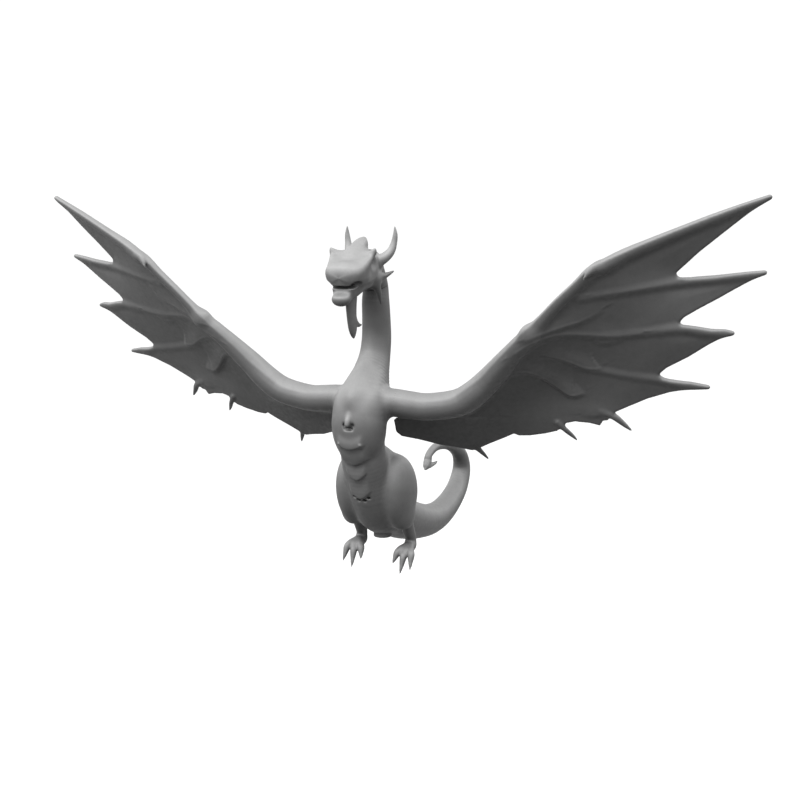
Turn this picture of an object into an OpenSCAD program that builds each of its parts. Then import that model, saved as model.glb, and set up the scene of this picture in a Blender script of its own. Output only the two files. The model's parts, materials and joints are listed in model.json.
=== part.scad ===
// Flying dragon tabletop figure in 1:1 size, millimetres.
// +Z is up, the dragon looks along -Y, and its left wing points along +X.
// The origin is the centre of the mouth of the flight stand socket in the belly.

/* [Wings] */
// Thickness of the wing skin, measured front to back
skin_t = 1.7; // [1.3:0.1:2.2]
// How much the skin bellies backwards between the arm and its rear edge
skin_belly = 3; // [0:0.5:5]
// Thickness factor of the wing arms
arm_girth = 1; // [0.9:0.05:1.15]
// Diameter of the steel pin that carries each wing
wing_pin_d = 3; // [2.4:0.2:3.4]

/* [Body] */
// Diameter of the flight stand peg that the belly socket takes
peg_d = 3; // [2.4:0.2:3.4]
// Depth of the flight stand socket
peg_depth = 8; // [6:0.5:9]
// Diameter of the steel pins that hold the body pieces together
pin_d = 2; // [1.6:0.2:2.2]
// Thickness factor of the neck
neck_girth = 1; // [0.92:0.02:1.06]

/* [Head] */
// Height factor of the horns
horn_rise = 1; // [0.8:0.05:1.2]
// Length factor of the chin beard
beard_length = 1; // [0.7:0.05:1.1]

/* [Fit] */
// Radial clearance between a turning or sliding pin and its bore
running_gap = 0.05; // [0.03:0.01:0.1]

/* [Hidden] */
paint = "#9c9c9c";
claw_paint = "#a8a8a8";

// Backbone rings from inside the head to the root of the barb: x, y, z, half width, half depth
backbone = [
    [0, -9.5, 96.5, 3.6, 3.6],
    [0, -7.2, 92.5, 4.0, 4.0],
    [0, -5.2, 88, 4.2, 4.2],
    [0, -4.2, 83, 4.4 * neck_girth, 4.4 * neck_girth],
    [0, -3.8, 77, 4.7 * neck_girth, 4.7 * neck_girth],
    [0, -4.2, 70.5, 5.0 * neck_girth, 5.0 * neck_girth],
    [0, -6.5, 64.5, 5.3, 5.2],
    [0, -9.8, 59, 6.2, 6.2],
    [0, -13.0, 54, 7.8, 7.8],
    [0, -15.5, 48.5, 9.0, 9.0],
    [0, -16.8, 42.5, 9.0, 9.4],
    [0, -16.4, 36.5, 8.5, 8.4],
    [0, -14.2, 30.5, 8.3, 7.8],
    [0, -11.0, 24.5, 8.6, 8.4],
    [0, -7.0, 18, 9.0, 9.8],
    [0, -2.0, 11.5, 9.0, 9.8],
    [0, 5.5, 7.2, 8.6, 8.0],
    [0, 14, 3, 7.8, 7.8],
    [0, 24, -0.8, 7.2, 7.2],
    [0, 33, -3.6, 6.6, 6.6],
    [0, 43, -5.8, 6.0, 6.0],
    [0, 54, -6.4, 5.3, 5.3],
    [0, 65, -4.6, 4.7, 4.7],
    [0, 74.5, -0.5, 4.2, 4.2],
    [0, 79.5, 6, 3.7, 3.7],
    [0, 77.5, 12.5, 3.1, 3.1],
    [0, 70, 17.5, 2.5, 2.5],
    [0, 60.5, 20.5, 2.0, 2.0],
    [0, 50.5, 21.5, 1.6, 1.6],
    [0, 43.5, 20, 1.4, 1.4],
    [0, 42, 17.5, 1.3, 1.3]
];
// Rings that each stretch of the backbone is drawn through, past its seams
trunk_rings = 19;
tail_from = 17;
tail_turn = 24;
curl_from = 20;
// Seams across the body: a point in the seam and the tilt of its axis from +Z about X
neck_seam = [0, -8.0, 61.8];
neck_tilt = -31;
head_seam = [0, -5.2, 88];
head_tilt = 17;
waist_seam = [0, -14.2, 30.5];
waist_tilt = 24;
tail_seam = [0, 24, -0.8];
tail_tilt = 252;
curl_seam = [0, 65, -4.6];
curl_tilt = 286;

socket_boss_r = peg_d / 2 + 2.4;

// Shoulder: the wing pin lies along X through this height and depth
shoulder_y = -13.3;
shoulder_z = 50.5;
shoulder_x = 12;
shoulder_r = 4.8;
magnet_x = 3;
magnet_h = 2;
pin_in_body = 7;
pin_in_wing = 8;

// Wing arm from the shoulder to the tip of the first finger: x, y, z, radius, radius
arm = [
    [9, -13.3, 50.5, 4.8, 4.8],
    [12, -13.3, 50.5, 4.8, 4.8],
    [22, -12.0, 49.8, 4.7, 4.7],
    [32, -12.0, 51.8, 4.6, 4.6],
    [43.5, -13.8, 61, 4.0, 4.0],
    [56.5, -20, 74.8, 2.9, 2.9],
    [68, -23.5, 86.8, 2.1, 2.1],
    [78.5, -25, 96.5, 1.9, 1.9],
    [94, -22, 104, 1.5, 1.5],
    [110, -18, 111, 1.1, 1.1],
    [125, -13.5, 117, 0.4, 0.4]
];
// Wing skin: each pair is a point inside the arm and the rear edge point below it
skin = [
    [[13.5, -12.5, 49], [9.6, -11, 39.5]],
    [[17, -11.5, 49.5], [19, -2, 35.5]],
    [[21, -10.5, 49.5], [33.5, 3.5, 34]],
    [[26, -10.5, 50], [46, 3, 38.5]],
    [[31, -11, 52], [55, 2.5, 40.5]],
    [[36, -11.5, 55], [64, 3, 43.5]],
    [[41, -12.5, 59], [74, 5.5, 44.5]],
    [[44, -13.5, 61.5], [78.5, 5, 49]],
    [[46.5, -14.2, 64], [93, 6, 55.5]],
    [[48.5, -15, 66.5], [108, 6, 59]],
    [[52, -17, 70], [93.5, 0, 62.5]],
    [[55, -18.5, 73.5], [115.5, -2.5, 77]],
    [[58, -20, 77], [101, -8.5, 80.5]],
    [[62, -21.5, 81.5], [124, -5.5, 95.5]],
    [[70, -23, 89.5], [100.5, -13.5, 95]],
    [[78, -24, 95.5], [124, -13.5, 116]]
];
skin_rows = 7;
// Skin pairs that carry a finger rib
ribs = [9, 11, 13];
// Small spurs on the rear edge: root, tip
spurs = [
    [[78, 4.5, 50], [84, 10, 43.5]],
    [[63, 2.5, 45], [66.5, 8, 39.5]],
    [[33, 3, 35.5], [36, 8, 30]]
];
thumb = [
    [78.5, -25.8, 97.3, 1.5, 1.5],
    [78.7, -27.6, 96.4, 1.1, 1.1],
    [77, -28.2, 93.6, 0.3, 0.3]
];

// Leg shapes of the left side
thigh = [
    [7.2, -7.5, 32, 1.6, 2.5],
    [8.2, -7, 28, 3.6, 5.6],
    [9.0, -5, 21, 5.4, 8.4],
    [9.0, -4.5, 14, 5.4, 8.2],
    [9.0, -4.5, 8.5, 4.2, 5.8],
    [9.2, -3.5, 4, 2.8, 3.2]
];
shin = [
    [9.2, -2.2, 9, 2.5, 3.0],
    [9.3, 0.8, 3.5, 2.2, 2.4],
    [9.5, 3.2, -1, 2.1, 2.1],
    [9.6, 1.2, -3.6, 2.3, 2.0],
    [9.7, -1.5, -4.6, 2.6, 1.6]
];
toes = [
    [[10.5, -0.3, -3.1], [12.3, -3.4, -4.7], [12.8, -5.5, -8.6]],
    [[9.65, 0.1, -3.3], [9.55, -3.8, -5.6], [9.3, -6, -10.3]],
    [[8.7, -0.2, -3.2], [7.15, -3.2, -4.5], [6.4, -5, -7.2]]
];
toe_r = 1.3;

function unit(v) = v / norm(v);
function spot(p) = [p[0], p[1], p[2]];

// Catmull-Rom point between p[i] and p[i + 1]
function curve_at(p, i, t) =
    let (n = len(p) - 1, a = p[max(i - 1, 0)], b = p[i], c = p[i + 1], d = p[min(i + 2, n)])
    0.5 * (2 * b + (c - a) * t + (2 * a - 5 * b + 4 * c - d) * t * t
        + (3 * b - a - 3 * c + d) * t * t * t);
function curve(p, steps) = [
    for (i = [0:len(p) - 2], k = [0:steps - 1]) curve_at(p, i, k / steps),
    p[len(p) - 1]
];
function heading(c, i) = unit(spot(c[min(i + 1, len(c) - 1)]) - spot(c[max(i - 1, 0)]));
function ring(c, i, side, n) =
    let (t = heading(c, i), u = unit(side - t * (side * t)), v = cross(t, u))
    [for (k = [0:n - 1])
        spot(c[i]) + u * c[i][3] * cos(360 * k / n) + v * c[i][4] * sin(360 * k / n)];

// Solid that follows a curve through rings of [x, y, z, half width, half depth]
module loft(path, side = [1, 0, 0], n = 16, steps = 3)
{
    c = curve(path, steps);
    m = len(c);
    polyhedron(
        points = [for (i = [0:m - 1]) each ring(c, i, side, n)],
        faces = [
            [for (k = [0:n - 1]) k],
            [for (k = [n - 1:-1:0]) (m - 1) * n + k],
            for (i = [0:m - 2], k = [0:n - 1])
                each let (a = i * n + k, b = i * n + (k + 1) % n)
                    [[a, a + n, b + n], [a, b + n, b]]
        ]);
}

module ball(at, size, turn = 0, n = 20)
{
    translate(at)
        rotate([turn, 0, 0])
            scale(size)
                sphere(1, $fn = n);
}

module mirrored()
{
    mirror([1, 0, 0]) children();
}

// Puts children at a seam with +Z along the seam's axis
module at_seam(point, tilt)
{
    translate(point)
        rotate([tilt, 0, 0])
            children();
}

// Big block on the +Z side of a seam
module beyond(point, tilt, reach = 60)
{
    at_seam(point, tilt)
        translate([-reach, -reach, 0])
            cube([2 * reach, 2 * reach, reach]);
}

// Cylinder centred on a seam: down into one side, up into the other
module seam_pin(point, tilt, r, down, up)
{
    at_seam(point, tilt)
        translate([0, 0, -down])
            cylinder(r = r, h = down + up, $fn = 40);
}

// Everything outside the shoulder seam on the left
module outboard()
{
    translate([shoulder_x, shoulder_y - 20, shoulder_z - 20])
        cube([140, 40, 40]);
}

module along_x(x0, x1, r)
{
    translate([x0, shoulder_y, shoulder_z])
        rotate([0, 90, 0])
            cylinder(r = r, h = x1 - x0, $fn = 48);
}

// Rib cage, neck and hips as one skin before the seams are cut
module trunk_shape()
{
    loft([for (i = [0:trunk_rings]) backbone[i]], n = 24);
    // Beak-like bump on the breast and the crescent scutes below it
    loft([[0, -24, 47, 2, 2], [0, -26.2, 44.8, 1.5, 1.2], [0, -27.2, 43.4, 0.4, 0.4]], n = 10);
    for (s = [[-23.4, 37.5, 3], [-20.6, 31.5, 3.8], [-18.6, 25, 4.2], [-16.4, 18.5, 4]])
        ball([0, s[0] + 1.8, s[1]], [s[2], 2.2, 1.6], 30);
    // Flat-faced boss for the flight stand
    cylinder(r = socket_boss_r, h = 6, $fn = 40);
    for (k = [-1, 1])
        loft([
            [k * 4, shoulder_y, shoulder_z - 1, 6.5, 6.5],
            [k * 9, shoulder_y, shoulder_z, 5.6, 5.6],
            [k * shoulder_x, shoulder_y, shoulder_z, shoulder_r, shoulder_r]
        ], side = [0, k, 0], n = 24);
}

module chest()
{
    color(paint)
        difference()
        {
            resize([0, 0, 0])
                difference()
                {
                    trunk_shape();
                    beyond(neck_seam, neck_tilt);
                    beyond(waist_seam, waist_tilt + 180);
                    outboard();
                    mirrored() outboard();
                }
            seam_pin(neck_seam, neck_tilt, pin_d / 2, 6, 1);
            seam_pin(waist_seam, waist_tilt, pin_d / 2, 1, 6);
            for (k = [0, 1])
                mirror([k, 0, 0])
                {
                    along_x(magnet_x, shoulder_x + 1, wing_pin_d / 2);
                    along_x(magnet_x + magnet_h, shoulder_x + 1, wing_pin_d / 2 + running_gap);
                }
        }
}

module neck()
{
    color(paint)
        difference()
        {
            resize([0, 0, 0])
                intersection()
                {
                    trunk_shape();
                    beyond(neck_seam, neck_tilt);
                    beyond(head_seam, head_tilt + 180);
                }
            seam_pin(neck_seam, neck_tilt, pin_d / 2, 1, 6);
            seam_pin(head_seam, head_tilt, pin_d / 2, 6, 1);
        }
}

module pelvis()
{
    color(paint)
        difference()
        {
            resize([0, 0, 0])
                difference()
                {
                    intersection()
                    {
                        trunk_shape();
                        beyond(waist_seam, waist_tilt + 180);
                    }
                    beyond(tail_seam, tail_tilt);
                    thigh_shape();
                    mirrored() thigh_shape();
                    shin_shape();
                    mirrored() shin_shape();
                }
            seam_pin(waist_seam, waist_tilt, pin_d / 2, 6, 1);
            seam_pin(tail_seam, tail_tilt, pin_d / 2, 7, 1);
            hip_pin();
            mirrored() hip_pin();
            translate([0, 0, -20]) cylinder(r = peg_d / 2 + 1, h = 20 + peg_depth, $fn = 48);
            translate([0, 0, -20]) cylinder(r = socket_boss_r + 0.5, h = 20, $fn = 48);
        }
}

module thigh_shape()
{
    loft(thigh, side = [1, 0, 0], n = 20);
}

module shin_shape()
{
    loft(shin, n = 12);
}

module foot_shape()
{
    shin_shape();
    for (t = toes)
        loft([[each t[0], toe_r * 0.9, toe_r * 0.9], [each t[1], toe_r, toe_r],
            [each (t[1] + (t[2] - t[1]) * 0.35), toe_r * 0.75, toe_r * 0.75]], n = 11);
}

module claw_shapes()
{
    for (t = toes)
        loft([[each (t[1] + (t[2] - t[1]) * 0.2), 0.8, 0.8],
            [each (t[1] + (t[2] - t[1]) * 0.6 + [0, -0.3, 0]), 0.65, 0.65],
            [each t[2], 0.2, 0.2]], n = 10);
}

module hip_pin()
{
    translate([1, -4, 15])
        rotate([0, 90, 0])
            cylinder(r = pin_d / 2, h = 9, $fn = 40);
}

module thigh_body()
{
    difference()
    {
        resize([0, 0, 0])
            difference()
            {
                thigh_shape();
                foot_shape();
            }
        hip_pin();
        ankle_pin();
    }
}

module left_thigh() { color(paint) thigh_body(); }

module right_thigh() { color(paint) mirrored() thigh_body(); }

module ankle_pin()
{
    translate([9.25, 0.3, 4.2])
        rotate([29, 0, 0])
            translate([0, 0, -3])
                cylinder(r = 0.8, h = 12, $fn = 40);
}

module foot_body()
{
    difference()
    {
        resize([0, 0, 0])
            union() foot_shape();
        ankle_pin();
    }
}

module left_foot() { color(paint) foot_body(); }

module right_foot() { color(paint) mirrored() foot_body(); }

module claws_body()
{
    resize([0, 0, 0])
        difference()
        {
            claw_shapes();
            foot_shape();
        }
}

module left_foot_claws() { color(claw_paint) claws_body(); }

module right_foot_claws() { color(claw_paint) mirrored() claws_body(); }

// Neck of the head, cranium, face and muzzle before the seams are cut
module skull_shape()
{
    loft([for (i = [0:4]) backbone[i]], n = 24);
    ball([0, -12, 95.5], [6.0, 6.8, 5.6], 20, 28);
    loft([
        [0, -11, 96.5, 5.4, 4.6],
        [0, -16.5, 96.5, 6.6, 4.8],
        [0, -21, 96, 7.4, 4.9],
        [0, -25, 94.5, 7.2, 4.6],
        [0, -29, 93.2, 6.0, 3.8],
        [0, -31.6, 93, 3.2, 2.0]
    ], n = 20);
}

module jaw_shape()
{
    loft([
        [0, -10, 90.5, 4.4, 3.2],
        [0, -17, 88.5, 5.2, 3.0],
        [0, -24, 87, 5.2, 2.9],
        [0, -29, 86, 4.4, 2.6],
        [0, -31.6, 85.6, 2.2, 1.4]
    ], n = 18);
}

// Slit between the lips, open at the front and the sides
module mouth_slit()
{
    ball([0, -30.5, 89.4], [6.5, 6, 0.8], 6, 24);
}

module skull()
{
    color(paint)
        difference()
        {
            resize([0, 0, 0])
                difference()
                {
                    intersection()
                    {
                        skull_shape();
                        beyond(head_seam, head_tilt);
                    }
                    mouth_slit();
                }
            at_seam(head_seam, head_tilt)
                translate([0, 0, -1])
                    cylinder(r = pin_d / 2 + running_gap, h = 7, $fn = 40);
        }
}

module lower_jaw()
{
    color(paint)
        resize([0, 0, 0])
            difference()
            {
                jaw_shape();
                skull_shape();
                mouth_slit();
                neck_clearance();
            }
}

// Room in front of the neck so that the jaw turns freely with the head
module neck_clearance()
{
    at_seam(head_seam, head_tilt)
        translate([0, 0, -20])
            cylinder(r = 5.4, h = 20.4, $fn = 40);
}

module head_extra()
{
    color(paint)
        resize([0, 0, 0])
            difference()
            {
                union() children();
                skull_shape();
                jaw_shape();
            }
}

module horn_shape()
{
    loft([
        [3.2, -13, 96.8, 2.0, 2.0],
        [6.0, -11.5, 97.8, 1.8, 1.8],
        [8.2, -10, 100.8, 1.3, 1.3],
        [8.5, -8.8, 101 + 3.6 * horn_rise, 0.9, 0.9],
        [7.9, -7.8, 101 + 6.8 * horn_rise, 0.3, 0.3]
    ], side = [0, 1, 0], n = 14);
}

module left_horn() { head_extra() horn_shape(); }

module right_horn() { head_extra() mirrored() horn_shape(); }

module head_crest()
{
    head_extra()
        loft([
            [0, -20, 99.3, 2.2, 1.2],
            [0, -17.5, 101.4, 2.6, 1.8],
            [0, -15.2, 103, 2.0, 1.6],
            [0, -13.8, 104.2, 0.6, 0.6]
        ], n = 14);
}

module brow_shape()
{
    loft([
        [3.6, -18.5, 98.2, 2.0, 1.8],
        [6.0, -20.6, 99.6, 1.3, 1.1],
        [7.6, -22.3, 101, 0.25, 0.25]
    ], side = [0, 1, 0], n = 12);
}

module left_brow_spike() { head_extra() brow_shape(); }

module right_brow_spike() { head_extra() mirrored() brow_shape(); }

// Two cheek spines that share one root
module frill_shape()
{
    loft([
        [3.6, -14, 91.3, 1.6, 2.0],
        [6.3, -10.5, 92, 0.8, 1.1],
        [8.6, -8, 93.2, 0.3, 0.3]
    ], side = [1, 0, 0], n = 12);
    loft([
        [3.6, -14, 90.5, 1.5, 2.2],
        [4.4, -12.6, 86.6, 0.8, 1.1],
        [5.4, -11.4, 82.8, 0.3, 0.3]
    ], side = [1, 0, 0], n = 12);
}

module left_cheek_frill() { head_extra() frill_shape(); }

module right_cheek_frill() { head_extra() mirrored() frill_shape(); }

// Flat beard that hangs under the chin, with one spur pointing back
module chin_beard()
{
    head_extra()
    {
        loft([
            [0, -24, 86, 1.2, 5.0],
            [0, -23.7, 84.5 - 5 * beard_length, 1.0, 3.8],
            [0, -22.8, 84.5 - 8.5 * beard_length, 0.9, 3.2],
            [0, -22.2, 84.5 - 11.7 * beard_length, 0.3, 0.4]
        ], n = 14);
        loft([
            [0, -22.5, 84.5 - 6.3 * beard_length, 0.9, 1.6],
            [0, -18.6, 84.5 - 8.2 * beard_length, 0.6, 0.9],
            [0, -16, 84.5 - 8.4 * beard_length, 0.3, 0.3]
        ], n = 12);
    }
}

module tail_shape(from, to)
{
    loft([for (i = [from:to]) backbone[i]], n = 18);
}

module tail_base()
{
    color(paint)
        difference()
        {
            resize([0, 0, 0])
                difference()
                {
                    intersection()
                    {
                        tail_shape(tail_from, tail_turn);
                        beyond(tail_seam, tail_tilt);
                    }
                    beyond(curl_seam, curl_tilt);
                }
            at_seam(tail_seam, tail_tilt)
                translate([0, 0, -1])
                    cylinder(r = pin_d / 2 + running_gap, h = 8, $fn = 40);
            seam_pin(curl_seam, curl_tilt, 0.75, 5, 1);
        }
}

module tail_curl()
{
    color(paint)
        difference()
        {
            resize([0, 0, 0])
                difference()
                {
                    tail_shape(curl_from, len(backbone) - 1);
                    difference()
                    {
                        translate([-30, 30, -30]) cube([60, 60, 38]);
                        beyond(curl_seam, curl_tilt);
                    }
                }
            seam_pin(curl_seam, curl_tilt, 0.75, 1, 4);
        }
}

module barb_shape()
{
    loft([
        [0, 42.2, 18, 1.1, 1.1],
        [0, 42, 16.4, 1.4, 2.0],
        [0, 43, 15.4, 1.2, 1.3],
        [0, 47, 15.2, 0.9, 0.9],
        [0, 51.5, 14.6, 0.3, 0.3]
    ], n = 14);
}

module tail_barb()
{
    color(claw_paint)
        resize([0, 0, 0])
            difference()
            {
                barb_shape();
                tail_shape(curl_from, len(backbone) - 1);
            }
}

module arm_shape()
{
    loft(arm, side = [0, 1, 0], n = 18);
}

module wing_arm()
{
    color(paint)
        difference()
        {
            resize([0, 0, 0])
                difference()
                {
                    arm_shape();
                    translate([shoulder_x - 20, shoulder_y - 20, shoulder_z - 20]) cube([20, 40, 40]);
                }
            along_x(shoulder_x - 1, shoulder_x + pin_in_wing, wing_pin_d / 2 + running_gap);
        }
}

module left_wing_arm() { wing_arm(); }

module right_wing_arm() { mirrored() wing_arm(); }

// Middle of the skin at rib line i, from 0 inside the arm to 1 at the rear edge
function skin_at(i, t) =
    skin[i][0] + (skin[i][1] - skin[i][0]) * t + [0, skin_belly * 4 * t * (1 - t), 0];

module skin_sheet()
{
    n = len(skin);
    rows = skin_rows + 1;
    front = [for (i = [0:n - 1], j = [0:skin_rows])
        skin_at(i, j / skin_rows) - [0, skin_t / 2, 0]];
    back = [for (i = [0:n - 1], j = [0:skin_rows])
        skin_at(i, j / skin_rows) + [0, skin_t / 2, 0]];
    h = n * rows;
    polyhedron(
        points = concat(front, back),
        faces = [
            for (i = [0:n - 2], j = [0:skin_rows - 1])
                each let (a = i * rows + j, b = a + rows, c = b + 1, d = a + 1)
                    [[a, b, c], [a, c, d], [a + h, c + h, b + h], [a + h, d + h, c + h]],
            for (i = [0:n - 2])
                each let (a = i * rows, b = a + rows, c = a + skin_rows, d = b + skin_rows)
                    [[a, a + h, b + h], [a, b + h, b], [c, d, d + h], [c, d + h, c + h]],
            for (j = [0:skin_rows - 1])
                each let (a = j, b = j + 1, c = (n - 1) * rows + j, d = c + 1)
                    [[a + h, a, b], [a + h, b, b + h], [c, c + h, d + h], [c, d + h, d]]
        ]);
}

module skin_shape()
{
    skin_sheet();
    for (i = ribs)
        loft([for (t = [0, 0.35, 0.7, 1])
            [each skin_at(i, t), 1.9 - 1.4 * t, 1.9 - 1.4 * t]], side = [0, 1, 0], n = 10);
    for (s = spurs)
        loft([[each s[0], 1.1, 1.1], [each (s[0] + s[1]) / 2, 0.8, 0.8], [each s[1], 0.3, 0.3]],
            n = 10);
}

module wing_skin()
{
    color(paint)
        resize([0, 0, 0])
            difference()
            {
                skin_shape();
                arm_shape();
                along_x(shoulder_x - 8, shoulder_x + 1, shoulder_r + 0.6);
            }
}

module left_wing_skin() { wing_skin(); }

module right_wing_skin() { mirrored() wing_skin(); }

module thumb_body()
{
    color(claw_paint)
        resize([0, 0, 0])
            difference()
            {
                loft(thumb, side = [0, 1, 0], n = 12);
                arm_shape();
            }
}

module left_thumb_claw() { thumb_body(); }

module right_thumb_claw() { mirrored() thumb_body(); }

module shoulder_magnet()
{
    color("#b8b8bc") along_x(magnet_x, magnet_x + magnet_h, wing_pin_d / 2);
}

module left_shoulder_magnet() { shoulder_magnet(); }

module right_shoulder_magnet() { mirrored() shoulder_magnet(); }

module shoulder_pin()
{
    color("#c4c4c8")
        along_x(magnet_x + magnet_h, shoulder_x + pin_in_wing, wing_pin_d / 2);
}

module left_shoulder_pin() { shoulder_pin(); }

module right_shoulder_pin() { mirrored() shoulder_pin(); }

module neck_pin() { color("#c4c4c8") seam_pin(neck_seam, neck_tilt, pin_d / 2, 6, 6); }

module waist_pin() { color("#c4c4c8") seam_pin(waist_seam, waist_tilt, pin_d / 2, 6, 6); }

module head_pin() { color("#c4c4c8") seam_pin(head_seam, head_tilt, pin_d / 2, 6, 6); }

module tail_pin() { color("#c4c4c8") seam_pin(tail_seam, tail_tilt, pin_d / 2, 7, 7); }

module curl_pin() { color("#c4c4c8") seam_pin(curl_seam, curl_tilt, 0.75, 5, 4); }

module hip_pins()
{
    color("#c4c4c8")
    {
        hip_pin();
        mirrored() hip_pin();
    }
}

module ankle_pins()
{
    color("#c4c4c8")
    {
        ankle_pin();
        mirrored() ankle_pin();
    }
}

module stand_socket_bush()
{
    color("#b5913c")
        difference()
        {
            cylinder(r = peg_d / 2 + 1, h = peg_depth, $fn = 48);
            translate([0, 0, -1]) cylinder(r = peg_d / 2, h = peg_depth, $fn = 48);
        }
}

chest();
pelvis();
neck();
left_thigh();
right_thigh();
left_foot();
right_foot();
left_foot_claws();
right_foot_claws();
left_shoulder_magnet();
right_shoulder_magnet();
neck_pin();
waist_pin();
hip_pins();
ankle_pins();
head_pin();
tail_pin();
curl_pin();
stand_socket_bush();
skull();
lower_jaw();
left_horn();
right_horn();
head_crest();
left_brow_spike();
right_brow_spike();
left_cheek_frill();
right_cheek_frill();
chin_beard();
tail_base();
tail_curl();
tail_barb();
left_shoulder_pin();
right_shoulder_pin();
left_wing_arm();
left_wing_skin();
left_thumb_claw();
right_wing_arm();
right_wing_skin();
right_thumb_claw();
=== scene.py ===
import copy
import json
import math

import bmesh
import bpy
import numpy as np
import openvdb
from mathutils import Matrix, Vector


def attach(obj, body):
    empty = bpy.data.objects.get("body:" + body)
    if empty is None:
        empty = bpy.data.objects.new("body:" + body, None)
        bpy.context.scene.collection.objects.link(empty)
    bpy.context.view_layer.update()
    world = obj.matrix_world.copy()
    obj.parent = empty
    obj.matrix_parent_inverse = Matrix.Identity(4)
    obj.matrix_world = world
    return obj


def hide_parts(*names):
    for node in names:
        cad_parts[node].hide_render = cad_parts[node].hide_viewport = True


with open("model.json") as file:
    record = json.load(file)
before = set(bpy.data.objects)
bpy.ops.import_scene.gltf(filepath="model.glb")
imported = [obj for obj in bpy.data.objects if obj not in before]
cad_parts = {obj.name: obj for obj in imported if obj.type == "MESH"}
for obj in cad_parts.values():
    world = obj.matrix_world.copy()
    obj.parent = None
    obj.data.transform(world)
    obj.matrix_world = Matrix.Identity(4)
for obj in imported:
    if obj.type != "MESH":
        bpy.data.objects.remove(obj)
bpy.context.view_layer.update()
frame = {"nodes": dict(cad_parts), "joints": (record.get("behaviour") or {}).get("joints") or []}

# All sculpting is in millimetres, in the CAD frame: the dragon faces -Y and its left wing points
# along +X. Meshes are scaled to metres as they are made.
MM = 0.001

# A distance field only has to be true nearer to its surface than this
FAR = 6.0
# A casting runs on under its neighbour for this depth, sinking by this slope, so no gap shows
HIDDEN_LAP = 0.6
HIDDEN_SLOPE = 0.15
# Half the gap at a seam that turns
SEAM_GAP = 0.012
# Edges that turn by more than this, in degrees, are shaded as sharp
SHARP_EDGE = 55
# Keeps a division from failing at the very middle of a shape
TINY = 1e-5

HEAD_STEP = 0.2
BODY_STEP = 0.28
WING_STEP = 0.36

JOINTS = {joint["name"]: joint for joint in frame["joints"]}


def joint_seam(name):
    """Point and tilt of the seam that a joint turns on, from the frame."""
    joint = JOINTS[name]
    point = tuple(round(v / MM, 3) for v in joint["pos_m"])
    tilt = math.degrees(math.atan2(-joint["axis"][1], joint["axis"][2]))
    return point, round(tilt, 1)


# Flat seams: a point, and the tilt of the seam's axis from +Z about X in degrees
HEAD_SEAM = joint_seam("head_turn")
TAIL_SEAM = joint_seam("tail_turn")
NECK_SEAM = ((0, -8.0, 61.8), -31)
WAIST_SEAM = ((0, -14.2, 30.5), 24)
CURL_SEAM = ((0, 65, -4.6), 286)

# Left shoulder: the wing meets the chest at SHOULDER_X and turns on a pin along X
SHOULDER_X, SHOULDER_Y, SHOULDER_Z = (round(v / MM, 3) for v in JOINTS["left_wing_swivel"]["pos_m"])
WING_BORE_R = 1.55
CHEST_BORE_END = 5.0
WING_BORE_END = 20.0
# The wing's own shoulder has the shape of the trunk's up to here
SHOULDER_END_X = 20.0

# Room in the head for the top of the neck
NECK_ROOM_R = 5.0

# Stand socket in the pelvis, on the Z axis: the brass bush, the boss round it and the peg's way in
BUSH_R = 2.5
BUSH_TOP = 8.0
BOSS_R = 3.2
BOSS_TOP = 6.0
BUSH_COVER = 0.25
PEG_ROOM_R = 3.4


# ---------------------------------------------------------------- distance fields

class Grid:
    """Points of a box; a half grid starts at x = 0 and is mirrored when it is meshed."""

    def __init__(self, low, high, step):
        axes = [np.arange(a, b + step / 2, step, dtype=np.float32) for a, b in zip(low, high)]
        self.low = np.array(low, float)
        self.step = step
        self.axes = axes
        self.x, self.y, self.z = np.ix_(*axes)
        self.shape = tuple(len(a) for a in axes)

    def window(self, low, high):
        """Slices of the part of the grid between two corners, or None."""
        cuts = []
        for axis, a, b in zip(self.axes, low, high):
            first = int(np.searchsorted(axis, a))
            last = int(np.searchsorted(axis, b))
            if last <= first:
                return None
            cuts.append(slice(first, last))
        return tuple(cuts)

    def squeezed(self, width):
        """The same grid with its X axis divided by width."""
        other = copy.copy(self)
        other.axes = [self.axes[0] / width, self.axes[1], self.axes[2]]
        other.x = self.x / width
        return other


def curve(points, steps):
    """Catmull-Rom curve through rows of numbers."""
    p = np.array(points, float)
    last = len(p) - 1
    rows = []
    for i in range(last):
        a, b, c, d = p[max(i - 1, 0)], p[i], p[i + 1], p[min(i + 2, last)]
        for k in range(steps):
            t = k / steps
            rows.append(0.5 * (2 * b + (c - a) * t + (2 * a - 5 * b + 4 * c - d) * t ** 2
                               + (3 * b - a - 3 * c + d) * t ** 3))
    rows.append(p[last])
    return np.array(rows)


def join(a, b, soft):
    """Union with a fillet of about the given size."""
    h = np.maximum(soft - np.abs(a - b), 0) / soft
    return np.minimum(a, b) - h * h * (soft / 4)


def carve(a, b, soft):
    """First field without the second, with a rounded edge."""
    return -join(-a, b, soft)


def ball(grid, at, size, turn=0.0):
    """Ellipsoid with its centre and half sizes, tipped about X."""
    c, s = math.cos(math.radians(turn)), math.sin(math.radians(turn))
    y, z = grid.y - at[1], grid.z - at[2]
    u, v, w = (grid.x - at[0]), y * c + z * s, z * c - y * s
    near = np.sqrt((u / size[0]) ** 2 + (v / size[1]) ** 2 + (w / size[2]) ** 2)
    slope = np.sqrt((u / size[0] ** 2) ** 2 + (v / size[1] ** 2) ** 2 + (w / size[2] ** 2) ** 2)
    return near * (near - 1) / (slope + TINY)


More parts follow.
